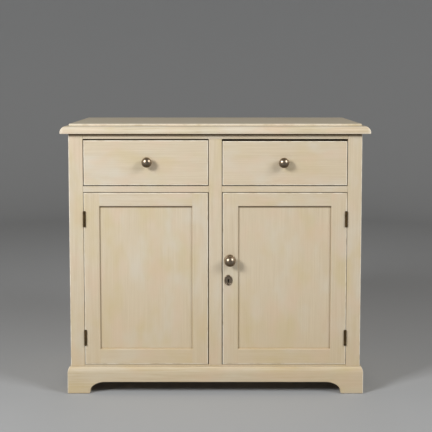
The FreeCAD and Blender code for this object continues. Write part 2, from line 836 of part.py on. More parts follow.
def oval(inset, y0, y1):
    """An oval disc about the keyhole, smaller than the escutcheon by the inset all round."""
    tall = vec(lock_x, y1, lock_height + escutcheon_height / 2 - inset)
    wide = vec(lock_x + escutcheon_width / 2 - inset, y1, lock_height)
    return prism([Part.Ellipse(tall, wide, vec(lock_x, y1, lock_height)).toShape()], vec(0, y0 - y1, 0))


escutcheon = oval(0, -escutcheon_thickness, 0)
escutcheon = escutcheon.cut(oval(escutcheon_rim, -escutcheon_thickness, -escutcheon_plate))
escutcheon = ease(escutcheon, escutcheon_round, lambda c: c.y < TINY - escutcheon_thickness)
save("escutcheon", escutcheon.cut(keyhole))

ear_back = door_thickness + lock_case_wall
lock_screw_places = [(vec(x, ear_back, z), -ALONG_Y)
                     for x in (case_left + lock_screw_inset, case_right - lock_screw_inset)
                     for z in (case_low - lock_ear_height / 2, case_high + lock_ear_height / 2)]
lock_holes = [screw_hole(*place) for place in lock_screw_places]
lock_case = joined([
    box(case_left, case_right, door_thickness, case_back, case_low, case_high),
    box(case_left, case_right, door_thickness, ear_back,
        case_low - lock_ear_height, case_high + lock_ear_height)])
lock_case = lock_case.cut(Part.makeCompound([
    box(case_left + lock_case_wall, case_right - lock_case_wall, door_thickness, case_back - lock_case_wall,
        case_low + lock_case_wall, case_high - lock_case_wall),
    bolt_block(case_left, case_left + lock_case_wall, bolt_clearance)] + lock_holes))
save("lock_case", lock_case)
save("lock_bolt", bolt_block(case_left, case_left + bolt_length, 0))
spring_low = bolt_middle_z + bolt_height / 2 + bolt_clearance
save("lock_spring", box(case_right - lock_case_wall - spring_length, case_right - lock_case_wall,
                        bolt_middle_y - bolt_thickness / 2, bolt_middle_y + bolt_thickness / 2,
                        spring_low, spring_low + spring_thickness))

right_inner_stile = inner_stile.cut(Part.makeCompound([spindle_hole, keyhole] + lock_holes))


# Turn button inside the left door, on its pivot screw

button_front = door_thickness + button_gap
button_back = button_front + button_thickness
button_reach = -button_x - (opening_inner - button_overlap)
pivot_tip = door_thickness - button_screw_depth
pivot_hole = through_door(button_screw_radius + running_clearance, button_x, button_height,
                          pivot_tip, button_back)
turn_button = box(button_x - button_width / 2, button_x + button_width / 2, button_front, button_back,
                  button_height - button_reach, button_height + button_reach)
turn_button = ease(turn_button, button_end_radius,
                   lambda c: abs(c.y - (button_front + button_back) / 2) < TINY)
turn_button = joined([turn_button, through_door(button_pad_radius, button_x, button_height,
                                                door_thickness + turning_gap, button_front)]).cut(pivot_hole)
save("turn_button", turn_button)
head_front = button_back + turning_gap
head_back = head_front + button_screw_head_height
pivot_screw = joined([
    through_door(button_screw_radius, button_x, button_height, pivot_tip, head_front),
    through_door(button_screw_head_radius, button_x, button_height, head_front, head_back)])
left_inner_stile = mirrored(inner_stile).cut(pivot_hole)
lock_screws = [screw(*spot) for spot in lock_screw_places]

for side, place, inner, own_screws in (("left", mirrored, left_inner_stile, [pivot_screw]),
                                       ("right", Part.Shape.copy, right_inner_stile, lock_screws)):
    save(side + "_door_inner_stile", inner)
    save(side + "_door_outer_stile", place(outer_stile))
    save(side + "_door_top_rail", place(door_top_rail))
    save(side + "_door_bottom_rail", place(door_bottom_rail))
    save(side + "_door_panel", place(door_panel))
    save(side + "_door_hinge_leaves", *[place(leaf) for leaf in door_leaves])
    save(side + "_door_screws", *[place(piece) for piece in door_screws], *own_screws)


# Drawers: each is drawn on the right, and the left one is mirrored into place

drawer_left = opening_inner + drawer_side_gap
drawer_right = opening_outer - drawer_side_gap
front_low = drawer_floor + drawer_floor_gap
side_low = drawer_floor + drawer_run_clearance
bottom_low = side_low + drawer_bottom_height
bottom_high = bottom_low + drawer_bottom_thickness
drawer_back_face = drawer_length - drawer_board_thickness
knob_x = opening_middle - drawer_knob_offset


def dovetails(x0, x1, root, tip, z0, z1):
    """Flared tails, evenly spaced, that run from the root to the tip of a corner joint."""
    pitch = (z1 - z0) / drawer_tail_count
    half_root = pitch * drawer_tail_share / 2
    half_tip = half_root + drawer_tail_flare
    tails = []
    for number in range(drawer_tail_count):
        z = z0 + (number + 0.5) * pitch
        points = [vec(x0, root, z - half_root), vec(x0, tip, z - half_tip),
                  vec(x0, tip, z + half_tip), vec(x0, root, z + half_root)]
        tails.append(prism(polygon(points), vec(x1 - x0, 0, 0)))
    return Part.makeCompound(tails)


def make_drawer_knob(z):
    at = lambda radius, out: vec(knob_x + radius, -out, z)
    rim = drawer_knob_projection - drawer_knob_dome
    waist = rim - drawer_knob_back
    radius = drawer_knob_diameter / 2
    end = -(drawer_front_thickness + nut_thickness + stud_end)
    foot = [at(0, end), at(knob_stud_radius, end), at(knob_stud_radius, 0), at(drawer_knob_base_radius, 0),
            at(drawer_knob_base_radius, drawer_knob_base_height / 2)]
    neck = at(drawer_knob_neck_radius, drawer_knob_base_height)
    return turned(knob_x, z, outline(foot) + [
        ovolo(foot[-1], neck, at(drawer_knob_base_radius, drawer_knob_base_height)),
        line(neck, at(drawer_knob_neck_radius, waist)),
        ovolo(at(drawer_knob_neck_radius, waist), at(radius, rim), at(radius, waist)),
        dome(at, radius, rim, drawer_knob_projection),
        line(at(0, drawer_knob_projection), at(0, end))])


def make_nut(z):
    """A six-sided nut on the stud, tight against the back of the drawer front."""
    corners = [vec(knob_x + nut_radius * math.cos(math.radians(60 * turn)), drawer_front_thickness,
                   z + nut_radius * math.sin(math.radians(60 * turn))) for turn in range(6)]
    bore = through_door(knob_stud_radius + running_clearance, knob_x, z, drawer_front_thickness,
                        drawer_front_thickness + nut_thickness)
    return prism(polygon(corners), vec(0, nut_thickness, 0)).cut(bore)


def make_drawer(top_gap):
    """The pieces of a drawer whose front stops short of the rail above it by the gap."""
    front_high = opening_top - top_gap
    side_high = front_high - drawer_side_drop
    back_high = side_high - drawer_side_drop
    knob_z = front_low + knob_height_share * (front_high - front_low)
    bottom = box(drawer_left + drawer_board_thickness - drawer_groove_depth,
                 drawer_right - drawer_board_thickness + drawer_groove_depth,
                 drawer_front_thickness - drawer_groove_depth, drawer_length, bottom_low, bottom_high)
    front_tails = dovetails(drawer_left, drawer_left + drawer_board_thickness, drawer_front_thickness,
                            drawer_front_lap, front_low, side_high)
    back_tails = dovetails(drawer_left, drawer_left + drawer_board_thickness, drawer_back_face, drawer_length,
                           bottom_high, back_high)
    back_pins = box(drawer_left, drawer_left + drawer_board_thickness, drawer_back_face, drawer_length,
                    bottom_high, back_high).cut(back_tails)
    side = box(drawer_left, drawer_left + drawer_board_thickness, drawer_front_thickness, drawer_length,
               side_low, side_high)
    side = joined([side] + front_tails.Solids).cut(Part.makeCompound([bottom] + back_pins.Solids))
    other_end = lambda shape: shape.mirror(vec(opening_middle, 0, 0), ALONG_X)
    front = box(drawer_left, drawer_right, 0, drawer_front_thickness, front_low, front_high)
    stud_hole = through_door(knob_stud_radius + running_clearance, knob_x, knob_z, 0, drawer_front_thickness)
    front = ease(front, eased_edge, at_front).cut(Part.makeCompound(
        front_tails.Solids + other_end(front_tails).Solids + [bottom, stud_hole]))
    back = box(drawer_left, drawer_right, drawer_back_face, drawer_length, bottom_high, back_high)
    back = back.cut(Part.makeCompound(back_tails.Solids + other_end(back_tails).Solids))
    return {"front": [front], "inner_side": [side], "outer_side": [other_end(side)], "back": [back],
            "bottom": [bottom], "knob": [make_drawer_knob(knob_z), make_nut(knob_z)]}


for side, place, top_gap in (("left", mirrored, left_drawer_top_gap),
                             ("right", Part.Shape.copy, right_drawer_top_gap)):
    for piece, solids in make_drawer(top_gap).items():
        save(side + "_drawer_" + piece, *[place(solid) for solid in solids])
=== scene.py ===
import math
import bmesh
import bpy
from mathutils import Matrix, Vector


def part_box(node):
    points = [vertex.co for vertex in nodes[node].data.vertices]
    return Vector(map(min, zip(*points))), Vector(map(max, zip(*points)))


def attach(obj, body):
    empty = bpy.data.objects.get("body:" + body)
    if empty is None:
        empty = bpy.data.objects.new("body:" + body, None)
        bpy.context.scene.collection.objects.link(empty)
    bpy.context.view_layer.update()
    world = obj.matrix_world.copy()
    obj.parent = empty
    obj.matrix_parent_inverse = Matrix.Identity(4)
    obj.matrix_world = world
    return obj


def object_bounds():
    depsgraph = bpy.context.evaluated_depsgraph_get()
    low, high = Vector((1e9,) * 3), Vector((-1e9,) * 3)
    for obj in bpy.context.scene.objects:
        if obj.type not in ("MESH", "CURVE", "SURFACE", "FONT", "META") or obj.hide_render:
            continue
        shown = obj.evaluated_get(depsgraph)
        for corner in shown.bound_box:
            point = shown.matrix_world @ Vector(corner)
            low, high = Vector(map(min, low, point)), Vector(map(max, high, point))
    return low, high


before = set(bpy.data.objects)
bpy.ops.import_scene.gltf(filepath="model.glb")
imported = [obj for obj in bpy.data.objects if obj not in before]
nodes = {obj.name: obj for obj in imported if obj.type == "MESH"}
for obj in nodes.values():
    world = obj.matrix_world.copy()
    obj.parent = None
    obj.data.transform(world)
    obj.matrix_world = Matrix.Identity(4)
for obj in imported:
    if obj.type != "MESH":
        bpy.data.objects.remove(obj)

cad_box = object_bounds()
MM = 0.001

# Directions of the cupboard, as unit vectors
LEFT = (-1, 0, 0)
RIGHT = (1, 0, 0)
FRONT = (0, -1, 0)
BACK = (0, 1, 0)
UP = (0, 0, 1)

# Grain directions, as the number of the axis that a board runs along
LEVEL = 0
DEEP = 1
UPRIGHT = 2

# Inputs and output of the colour mix node, which has several of each name
FACTOR = 0
FIRST = 6
SECOND = 7
MIXED = 2


def linear(hex_colour):
    """An sRGB hex colour as the linear colour that a shader takes."""
    shares = [int(hex_colour[at:at + 2], 16) / 255 for at in (1, 3, 5)]
    return [s / 12.92 if s <= 0.04045 else ((s + 0.055) / 1.055) ** 2.4 for s in shares] + [1.0]


def add(tree, kind, inputs, **settings):
    """Adds a node with its settings, and sets each input to a value or links it to a socket."""
    node = tree.nodes.new(kind)
    for name, value in settings.items():
        setattr(node, name, value)
    for name, value in inputs.items():
        if isinstance(value, bpy.types.NodeSocket):
            tree.links.new(value, node.inputs[name])
        else:
            node.inputs[name].default_value = value
    return node


def stretched(grain, across, along):
    """Mapping scale for a pattern of one size across the grain and another along it, in millimetres."""
    return [1 / ((along if axis == grain else across) * MM) for axis in range(3)]


def even(size):
    """Mapping scale for a pattern of one size all ways, in millimetres."""
    return [1 / (size * MM)] * 3


def new_material(name):
    """A new material with its node tree, its shader and its texture coordinates."""
    material = bpy.data.materials.new(name)
    material.use_nodes = True
    tree = material.node_tree
    return material, tree, tree.nodes["Principled BSDF"], add(tree, "ShaderNodeTexCoord", {})


# Pine: sizes across and along the grain, in millimetres
# Real fibres are finer than these, which are as coarse as they need to be to show
RING_WANDER = (42, 1000)
FIBRE = (1.2, 60)
KNOT_SPACING = (150, 290)
RING_TURNS = 62.0
RING_SHARPNESS = 3.0
RING_STRENGTH = 0.45
FIBRE_RIDGE = 0.2 * MM
BOARD_SHIFT = 9.7
JOINT_WIDTH = 1.6 * MM


def pine_wood(tree, place, grain, board_width=None):
    """Bare pine, planed and darkened with age: narrow brown rings, straw between them, a few knots.
    Where boards of one width stand side by side in a node, each gets a stretch of grain of its own,
    and the joints between them are dark with dust. Gives the wood's colour and its fibres' height."""
    joint = None
    if board_width:
        apart = add(tree, "ShaderNodeSeparateXYZ", {0: place})
        from_joint = add(tree, "ShaderNodeMath", {
            0: apart.outputs["X"], 1: board_width / 2}, operation="PINGPONG")
        joint = add(tree, "ShaderNodeMapRange", {
            "Value": from_joint.outputs[0],
            "From Min": JOINT_WIDTH, "From Max": JOINT_WIDTH / 4, "To Max": 0.9})
        board = add(tree, "ShaderNodeMath", {0: apart.outputs["X"], 1: board_width}, operation="SNAP")
        along = add(tree, "ShaderNodeMath", {0: board.outputs[0], 1: BOARD_SHIFT}, operation="MULTIPLY")
        shift = add(tree, "ShaderNodeCombineXYZ", {"Y": along.outputs[0], "Z": along.outputs[0]})
        place = add(tree, "ShaderNodeVectorMath", {0: place, 1: shift.outputs[0]}).outputs[0]
    wander = add(tree, "ShaderNodeTexNoise", {
        "Vector": add(tree, "ShaderNodeMapping", {
            "Vector": place, "Scale": stretched(grain, *RING_WANDER)}).outputs[0],
        "Scale": 1.0, "Detail": 1.5, "Roughness": 0.35})
    rings = add(tree, "ShaderNodeMath", {0: wander.outputs["Fac"], 1: RING_TURNS}, operation="MULTIPLY")
    wave = add(tree, "ShaderNodeMath", {0: rings.outputs[0]}, operation="SINE")
    ring = add(tree, "ShaderNodeMath", {0: wave.outputs[0], 1: 0.5, 2: 0.5}, operation="MULTIPLY_ADD")
    narrow = add(tree, "ShaderNodeMath", {0: ring.outputs[0], 1: RING_SHARPNESS}, operation="POWER")
    late_wood = add(tree, "ShaderNodeMath", {0: narrow.outputs[0], 1: RING_STRENGTH}, operation="MULTIPLY")
    fibre = add(tree, "ShaderNodeTexNoise", {
        "Vector": add(tree, "ShaderNodeMapping", {
            "Vector": place, "Scale": stretched(grain, *FIBRE)}).outputs[0],
        "Scale": 1.0, "Detail": 2.0})
    straw = add(tree, "ShaderNodeMix", {
        FACTOR: fibre.outputs["Fac"],
        FIRST: linear("#C49F6C"), SECOND: linear("#D3B283")}, data_type="RGBA")
    lined = add(tree, "ShaderNodeMix", {
        FACTOR: late_wood.outputs[0],
        FIRST: straw.outputs[MIXED], SECOND: linear("#98683A")}, data_type="RGBA")
    knots = add(tree, "ShaderNodeTexVoronoi", {
        "Vector": add(tree, "ShaderNodeMapping", {
            "Vector": place, "Scale": stretched(grain, *KNOT_SPACING)}).outputs[0],
        "Scale": 1.0})
    knot = add(tree, "ShaderNodeMapRange", {
        "Value": knots.outputs["Distance"], "From Min": 0.10, "From Max": 0.06, "To Max": 0.8},
        interpolation_type="SMOOTHSTEP")
    wood = add(tree, "ShaderNodeMix", {
        FACTOR: knot.outputs[0],
        FIRST: lined.outputs[MIXED], SECOND: linear("#5E3A1E")}, data_type="RGBA")
    if joint:
        wood = add(tree, "ShaderNodeMix", {
            FACTOR: joint.outputs[0],
            FIRST: wood.outputs[MIXED], SECOND: linear("#3E2814")}, data_type="RGBA")
    return wood.outputs[MIXED], fibre.outputs["Fac"]


def bare_pine(name, grain, board_width=None):
    """Unfinished pine inside the cupboard and at its back: dry, straw brown and dull."""
    material, tree, shader, coords = new_material(name)
    wood, fibre = pine_wood(tree, coords.outputs["Object"], grain, board_width)
    tree.links.new(wood, shader.inputs["Base Color"])
    ridges = add(tree, "ShaderNodeBump", {"Height": fibre, "Strength": 0.4, "Distance": FIBRE_RIDGE})
    tree.links.new(ridges.outputs[0], shader.inputs["Normal"])
    shader.inputs["Roughness"].default_value = 0.72
    return material


# Paint: strokes and patches in millimetres
# Real bristle marks are finer than these strokes, which are as coarse as they need to be to show
FLAT_STROKE = 3
MOULDED_STROKE = 6
STROKE_LENGTH = 170
STROKE_RIDGE = 0.25 * MM
PATCH = (65, 120)
WEAR_AND_HIGHLIGHT_PATCH = 30
# Where the paint is mixed toward a darker yellow: up to this height, and from one place to another across the
# front
YELLOW_HEIGHT = 0.5
YELLOW_ACROSS = (-0.15, 0.35)
# How far a corner's walls are looked for, and the most dirt and painted shade that it holds
SHADE_AND_DIRT_REACH = 8 * MM
FLAT_SHADE_AND_DIRT = 0.95
MOULDED_SHADE_AND_DIRT = 0.4
# Rubbed edges with a painted highlight, and the top's two ends and upper edge
WEAR_AND_HIGHLIGHT_WIDTH = 3 * MM
TIP_WIDTH = 11 * MM
BROW_HEIGHT = 8 * MM
TOP_WEAR_AND_HIGHLIGHT = 0.55


def brushed_cream(tree, place, grain, moulded):
    """Cream laid on in faint strokes along the grain, with soft cool, yellow and pink patches, and darker
    and yellower to the floor and the right. Gives the paint's colour and its strokes' height."""
    if moulded:
        stroke_width, thin, thick = MOULDED_STROKE, "#C4B597", "#DCD2BE"
    else:
        stroke_width, thin, thick = FLAT_STROKE, "#CDBDA2", "#D8CAB2"
    strokes = add(tree, "ShaderNodeTexNoise", {
        "Vector": add(tree, "ShaderNodeMapping", {
            "Vector": place, "Scale": stretched(grain, stroke_width, STROKE_LENGTH)}).outputs[0],
        "Scale": 1.0, "Detail": 4.0, "Roughness": 0.6})
    cover = add(tree, "ShaderNodeMapRange", {
        "Value": strokes.outputs["Fac"], "From Min": 0.3, "From Max": 0.7})
    colour = add(tree, "ShaderNodeMix", {
        FACTOR: cover.outputs[0], FIRST: linear(thin), SECOND: linear(thick)}, data_type="RGBA")
    patches = add(tree, "ShaderNodeTexNoise", {
        "Vector": add(tree, "ShaderNodeMapping", {
            "Vector": place, "Scale": stretched(grain, *PATCH)}).outputs[0],
        "Scale": 1.0, "Detail": 2.0, "Roughness": 0.45})
    tints = add(tree, "ShaderNodeSeparateColor", {"Color": patches.outputs["Color"]})
    for channel, tint, most in (
            ("Red", "#D5CEBF", 0.55), ("Green", "#CDBC90", 0.5), ("Blue", "#D8C0A8", 0.5)):
        share = add(tree, "ShaderNodeMapRange", {
            "Value": tints.outputs[channel], "From Min": 0.5, "From Max": 0.7, "To Max": most})
        colour = add(tree, "ShaderNodeMix", {
            FACTOR: share.outputs[0], FIRST: colour.outputs[MIXED], SECOND: linear(tint)}, data_type="RGBA")
    # Darker and yellower towards the floor and towards the right
    apart = add(tree, "ShaderNodeSeparateXYZ", {0: place})
    low = add(tree, "ShaderNodeMapRange", {
        "Value": apart.outputs["Z"], "From Min": YELLOW_HEIGHT, "From Max": 0.0, "To Max": 0.42})
    aside = add(tree, "ShaderNodeMapRange", {
        "Value": apart.outputs["X"],
        "From Min": YELLOW_ACROSS[0], "From Max": YELLOW_ACROSS[1], "To Max": 0.15})
    darker_yellow_share = add(tree, "ShaderNodeMath", {0: low.outputs[0], 1: aside.outputs[0]}, operation="MAXIMUM")
    colour = add(tree, "ShaderNodeMix", {
        FACTOR: darker_yellow_share.outputs[0],
        FIRST: colour.outputs[MIXED], SECOND: linear("#BFA577")}, data_type="RGBA")
    return colour.outputs[MIXED], strokes.outputs["Fac"]


def soiled_and_shaded(tree, coords, colour, openness, moulded, ledge_shadow):
    """The paint's colour with grey dust on top of mouldings, brown dirt and painted shade in corners and
    gaps, less of it on faces that look up, and a painted shadow under a ledge."""
    upward = add(tree, "ShaderNodeVectorMath", {
        0: coords.outputs["Normal"], 1: UP}, operation="DOT_PRODUCT")
    if moulded:
        dust = add(tree, "ShaderNodeMapRange", {
            "Value": upward.outputs["Value"], "From Min": 0.8, "From Max": 0.98, "To Max": 0.5})
        colour = add(tree, "ShaderNodeMix", {
            FACTOR: dust.outputs[0], FIRST: colour, SECOND: linear("#A09A8A")},
            data_type="RGBA").outputs[MIXED]
    most_shade_and_dirt = MOULDED_SHADE_AND_DIRT if moulded else FLAT_SHADE_AND_DIRT
    # Dirt and painted shade: darker where ambient occlusion finds near walls, in corners, gaps and recesses
    corner_dirt_and_shade = add(tree, "ShaderNodeMapRange", {
        "Value": openness, "From Min": 0.8, "From Max": 0.4, "To Max": most_shade_and_dirt})
    # Less of the dirt and painted shade on faces that look up
    less_on_upward_faces = add(tree, "ShaderNodeMapRange", {
        "Value": upward.outputs["Value"], "From Min": 0.1, "From Max": 0.7, "To Min": 1.0, "To Max": 0.2})
    grime_and_shade = add(tree, "ShaderNodeMath", {0: corner_dirt_and_shade.outputs[0], 1: less_on_upward_faces.outputs[0]}, operation="MULTIPLY")
    # Deepest in gaps, the dirt and painted shade turn a darker brown
    deep = add(tree, "ShaderNodeMapRange", {"Value": openness, "From Min": 0.45, "From Max": 0.2})
    shade_and_soil_colour = add(tree, "ShaderNodeMix", {
        FACTOR: deep.outputs[0], FIRST: linear("#8A6A28"), SECOND: linear("#54360C")}, data_type="RGBA")
    colour = add(tree, "ShaderNodeMix", {
        FACTOR: grime_and_shade.outputs[0], FIRST: colour, SECOND: shade_and_soil_colour.outputs[MIXED]},
        data_type="RGBA").outputs[MIXED]
    # Painted shadow: a dark brown band on the paint just under a ledge, fading out further down
    if ledge_shadow:
        ledge, reach = ledge_shadow
        apart = add(tree, "ShaderNodeSeparateXYZ", {0: coords.outputs["Object"]})
        painted_ledge_shadow = add(tree, "ShaderNodeMapRange", {
            "Value": apart.outputs["Z"],
            "From Min": ledge - reach, "From Max": ledge - reach / 4, "To Max": FLAT_SHADE_AND_DIRT})
        colour = add(tree, "ShaderNodeMix", {
            FACTOR: painted_ledge_shadow.outputs[0], FIRST: colour, SECOND: linear("#5E4310")},
            data_type="RGBA").outputs[MIXED]
    return colour


def front_arrises(tree, place, corners):
    """How near a point is to the front arrises of a box, from 0 to 1."""
    low, high = corners
    off = add(tree, "ShaderNodeVectorMath", {0: place, 1: (low + high) / 2}, operation="SUBTRACT")
    out = add(tree, "ShaderNodeVectorMath", {0: off.outputs[0]}, operation="ABSOLUTE")
    past = add(tree, "ShaderNodeVectorMath", {0: out.outputs[0], 1: (high - low) / 2}, operation="SUBTRACT")
    apart = add(tree, "ShaderNodeSeparateXYZ", {0: past.outputs[0]})
    side = add(tree, "ShaderNodeMath", {0: apart.outputs["X"], 1: apart.outputs["Z"]}, operation="MAXIMUM")
    outer = add(tree, "ShaderNodeMapRange", {
        "Value": side.outputs[0], "From Min": -WEAR_AND_HIGHLIGHT_WIDTH, "From Max": -WEAR_AND_HIGHLIGHT_WIDTH / 2})
    depth = add(tree, "ShaderNodeSeparateXYZ", {0: place})
    front = add(tree, "ShaderNodeMapRange", {
        "Value": depth.outputs["Y"],
        "From Min": low.y + WEAR_AND_HIGHLIGHT_WIDTH, "From Max": low.y + WEAR_AND_HIGHLIGHT_WIDTH / 2})
    edge = add(tree, "ShaderNodeMath", {0: outer.outputs[0], 1: front.outputs[0]}, operation="MULTIPLY")
    return edge.outputs[0]


def moulded_wear_and_highlights(tree, place):
    """How sharply a moulded board turns at a point, from 0 to 1, and the top's two ends and upper edge, for
    wear and a painted highlight.
    """
    rounded = add(tree, "ShaderNodeBevel", {"Radius": WEAR_AND_HIGHLIGHT_WIDTH}, samples=6)
    flat = add(tree, "ShaderNodeNewGeometry", {})
    turn = add(tree, "ShaderNodeVectorMath", {
        0: rounded.outputs[0], 1: flat.outputs["Normal"]}, operation="DOT_PRODUCT")
    edge = add(tree, "ShaderNodeMapRange", {
        "Value": turn.outputs["Value"], "From Min": 0.99, "From Max": 0.88})
    end, top = cad_box[1].x, cad_box[1].z
    apart = add(tree, "ShaderNodeSeparateXYZ", {0: place})
    aside = add(tree, "ShaderNodeMath", {0: apart.outputs["X"]}, operation="ABSOLUTE")
    # Rubbed wear and a painted highlight: pale at the top's two ends, and a pale band on the upright faces of
    # its upper edge
    tip_wear_and_highlight = add(tree, "ShaderNodeMapRange", {
        "Value": aside.outputs[0], "From Min": end - TIP_WIDTH, "From Max": end, "To Max": TOP_WEAR_AND_HIGHLIGHT})
    brow_highlight = add(tree, "ShaderNodeMapRange", {
        "Value": apart.outputs["Z"],
        "From Min": top - BROW_HEIGHT, "From Max": top - BROW_HEIGHT / 2, "To Max": TOP_WEAR_AND_HIGHLIGHT})
    facing = add(tree, "ShaderNodeSeparateXYZ", {0: flat.outputs["Normal"]})
    upright = add(tree, "ShaderNodeMapRange", {
        "Value": facing.outputs["Z"], "From Min": 0.95, "From Max": 0.6})
    rim = add(tree, "ShaderNodeMath", {0: brow_highlight.outputs[0], 1: upright.outputs[0]}, operation="MULTIPLY")
    ends = add(tree, "ShaderNodeMath", {0: edge.outputs[0], 1: tip_wear_and_highlight.outputs[0]}, operation="MAXIMUM")
    most = add(tree, "ShaderNodeMath", {0: ends.outputs[0], 1: rim.outputs[0]}, operation="MAXIMUM")
    return most.outputs[0]


def cream_paint(tree, coords, grain, corners, ledge_shadow):
    """Oil eggshell brushed on by hand and aged: faint strokes, dust on top, dirt and painted shade in
    corners, and pale arrises that are rubbed wear and a painted highlight. Gives the paint's colour and its
    strokes' height."""
    place = coords.outputs["Object"]
    moulded = corners is None
    colour, height = brushed_cream(tree, place, grain, moulded)
    # How open each point is: it sets the painted shade and dirt in corners, and keeps the pale arrises out of
    # them
    openness = add(tree, "ShaderNodeAmbientOcclusion", {"Distance": SHADE_AND_DIRT_REACH}, samples=8).outputs["AO"]
    colour = soiled_and_shaded(tree, coords, colour, openness, moulded, ledge_shadow)
    edge = moulded_wear_and_highlights(tree, place) if moulded else front_arrises(tree, place, corners)
    # Pale arrises: rubbed wear, and a painted highlight where light catches the edges
    rub = add(tree, "ShaderNodeTexNoise", {
        "Vector": add(tree, "ShaderNodeMapping", {"Vector": place, "Scale": even(WEAR_AND_HIGHLIGHT_PATCH)}).outputs[0],
        "Scale": 1.0, "Detail": 3.0})
    patchy_wear_and_highlight = add(tree, "ShaderNodeMapRange", {
        "Value": rub.outputs["Fac"], "From Min": 0.28, "From Max": 0.55})
    clean = add(tree, "ShaderNodeMapRange", {"Value": openness, "From Min": 0.35, "From Max": 0.75})
    rubbed = add(tree, "ShaderNodeMath", {0: edge, 1: patchy_wear_and_highlight.outputs[0]}, operation="MULTIPLY")
    worn_and_highlit = add(tree, "ShaderNodeMath", {0: rubbed.outputs[0], 1: clean.outputs[0]}, operation="MULTIPLY")
    colour = add(tree, "ShaderNodeMix", {
        FACTOR: worn_and_highlit.outputs[0], FIRST: colour, SECOND: linear("#F0E7D4")}, data_type="RGBA")
    return colour.outputs[MIXED], height


def painted_pine(name, grain, corners=None, bare_side=None, ledge_shadow=None):
    """Pine painted cream, and left bare on the side that faces into the cupboard. The paint is rubbed, with a
    painted highlight, at the front arrises of the box with these corners, or where it has none, along all the
    mouldings.
    The ledge shadow is the height of a ledge that it stands under, and how far down its painted shadow
    reaches."""
    material, tree, shader, coords = new_material(name)
    colour, height = cream_paint(tree, coords, grain, corners, ledge_shadow)
    if bare_side:
        wood = pine_wood(tree, coords.outputs["Object"], grain)[0]
        towards = add(tree, "ShaderNodeVectorMath", {
            0: coords.outputs["Normal"], 1: bare_side}, operation="DOT_PRODUCT")
        bare = add(tree, "ShaderNodeMath", {0: towards.outputs["Value"], 1: 0.7}, operation="GREATER_THAN")
        colour = add(tree, "ShaderNodeMix", {
            FACTOR: bare.outputs[0], FIRST: colour, SECOND: wood}, data_type="RGBA").outputs[MIXED]
    tree.links.new(colour, shader.inputs["Base Color"])
    sheen = add(tree, "ShaderNodeMapRange", {
        "Value": height, "From Min": 0.3, "From Max": 0.7, "To Min": 0.38, "To Max": 0.52})
    tree.links.new(sheen.outputs[0], shader.inputs["Roughness"])
    ridges = add(tree, "ShaderNodeBump", {"Height": height, "Strength": 0.35, "Distance": STROKE_RIDGE})
    tree.links.new(ridges.outputs[0], shader.inputs["Normal"])
    return material


# Metals: spots in millimetres
TARNISH_REACH = 6 * MM
TARNISH_SPOT = 5
RUST_SPOT = 7
RUST_PIT = 0.3 * MM


def rubbed_pewter(name):
    """Cast pewter-grey metal, turned and polished by hands: bright on the crown, brown tarnish in
    the neck and the rim, and a painted dark reflection underneath."""
    material, tree, shader, coords = new_material(name)
    spots = add(tree, "ShaderNodeTexNoise", {
        "Vector": add(tree, "ShaderNodeMapping", {
            "Vector": coords.outputs["Object"], "Scale": even(TARNISH_SPOT)}).outputs[0],
        "Scale": 1.0, "Detail": 4.0})
    metal = add(tree, "ShaderNodeMix", {
        FACTOR: spots.outputs["Fac"],
        FIRST: linear("#8A7C6C"), SECOND: linear("#AC9B86")}, data_type="RGBA")
    hollow = add(tree, "ShaderNodeAmbientOcclusion", {"Distance": TARNISH_REACH}, samples=8)
    tarnish = add(tree, "ShaderNodeMapRange", {
        "Value": hollow.outputs["AO"], "From Min": 0.9, "From Max": 0.35})
    # Painted reflection: the underside is darkened as if it mirrored a dark floor
    upward = add(tree, "ShaderNodeVectorMath", {
        0: coords.outputs["Normal"], 1: UP}, operation="DOT_PRODUCT")
    dark_reflection_below = add(tree, "ShaderNodeMapRange", {
        "Value": upward.outputs["Value"], "From Min": 0.1, "From Max": -0.6, "To Max": 0.75})
    # The tarnish in the hollows together with the painted dark reflection underneath
    dull = add(tree, "ShaderNodeMath", {0: tarnish.outputs[0], 1: dark_reflection_below.outputs[0]}, operation="MAXIMUM")
    aged = add(tree, "ShaderNodeMix", {
        FACTOR: dull.outputs[0],
        FIRST: metal.outputs[MIXED], SECOND: linear("#4A3A28")}, data_type="RGBA")
    tree.links.new(aged.outputs[MIXED], shader.inputs["Base Color"])
    polish = add(tree, "ShaderNodeMapRange", {
        "Value": spots.outputs["Fac"], "From Min": 0.3, "From Max": 0.7, "To Min": 0.28, "To Max": 0.4})
    tree.links.new(polish.outputs[0], shader.inputs["Roughness"])
    shader.inputs["Metallic"].default_value = 1.0
    return material


def brown_iron(name):
    """Old iron hinges, screws, nails and locks: dark brown, dull, with a little rust."""
    material, tree, shader, coords = new_material(name)
    rust = add(tree, "ShaderNodeTexNoise", {
        "Vector": add(tree, "ShaderNodeMapping", {
            "Vector": coords.outputs["Object"], "Scale": even(RUST_SPOT)}).outputs[0],
        "Scale": 1.0, "Detail": 5.0, "Roughness": 0.65})
    share = add(tree, "ShaderNodeMapRange", {
        "Value": rust.outputs["Fac"], "From Min": 0.42, "From Max": 0.68})
    colour = add(tree, "ShaderNodeMix", {
        FACTOR: share.outputs[0], FIRST: linear("#4A3D26"), SECOND: linear("#6B5230")}, data_type="RGBA")
    tree.links.new(colour.outputs[MIXED], shader.inputs["Base Color"])
    dull = add(tree, "ShaderNodeMapRange", {"Value": share.outputs[0], "To Min": 0.42, "To Max": 0.75})
    tree.links.new(dull.outputs[0], shader.inputs["Roughness"])
    pits = add(tree, "ShaderNodeBump", {
        "Height": rust.outputs["Fac"], "Strength": 0.4, "Distance": RUST_PIT})
    tree.links.new(pits.outputs[0], shader.inputs["Normal"])
    shader.inputs["Metallic"].default_value = 0.75
    return material


# Which finish each piece of the cupboard has

